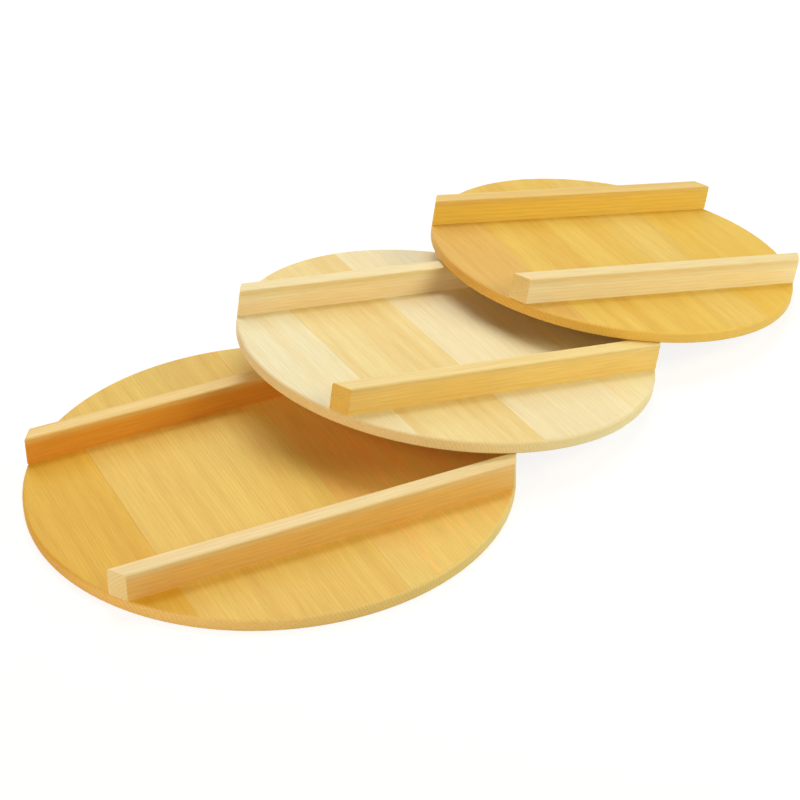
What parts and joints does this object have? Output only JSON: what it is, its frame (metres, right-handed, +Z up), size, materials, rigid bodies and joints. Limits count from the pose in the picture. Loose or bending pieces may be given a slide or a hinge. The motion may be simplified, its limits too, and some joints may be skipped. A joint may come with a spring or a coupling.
{
  "type": "rice tub lid set",
  "caption": "Round plank lids for sushi rice tubs in graduated sizes, each held flat by raised battens that are also its grips, leaning on one another in a row.",
  "frame": {"origin": "middle of the large lid's underside, on the table", "axes": "+X along the large lid's battens towards the leaning lids, +Y along its planks to the back, +Z up"},
  "size_m": [0.7579, 0.5065, 0.0878],
  "materials": {
    "sawara_gold": "planed bare sawara cypress, golden",
    "sawara_tan": "planed bare sawara cypress, darker tan",
    "sawara_cream": "planed bare sawara cypress, pale cream sapwood",
    "sawara_pale": "planed bare sawara cypress, pale gold",
    "sawara_yellow": "planed bare sawara cypress, yellow gold",
    "batten_gold": "planed bare sawara cypress batten, golden",
    "batten_pale": "planed bare sawara cypress batten, pale",
    "bamboo": "split and shaved bamboo"
  },
  "bodies": {
    "large_lid": {"large_plank_1": "sawara_tan", "large_plank_2": "sawara_gold", "large_plank_3": "sawara_gold", "large_plank_4": "sawara_gold", "large_front_batten": "batten_gold", "large_back_batten": "batten_gold", "large_pegs": "bamboo"},
    "medium_lid": {"medium_plank_1": "sawara_cream", "medium_plank_2": "sawara_pale", "medium_plank_3": "sawara_cream", "medium_plank_4": "sawara_cream", "medium_front_batten": "batten_gold", "medium_back_batten": "batten_pale", "medium_pegs": "bamboo"},
    "small_lid": {"small_plank_1": "sawara_tan", "small_plank_2": "sawara_yellow", "small_plank_3": "sawara_yellow", "small_plank_4": "sawara_yellow", "small_front_batten": "batten_pale", "small_back_batten": "batten_gold", "small_pegs": "bamboo"}
  },
  "joints": [
    {"name": "medium_lift", "type": "slide", "parent": "large_lid", "child": "medium_lid", "axis": [0, 0, 1], "range_m": [0, 0.15]},
    {"name": "small_lift", "type": "slide", "parent": "medium_lid", "child": "small_lid", "axis": [0, 0, 1], "range_m": [0, 0.15]}
  ]
}
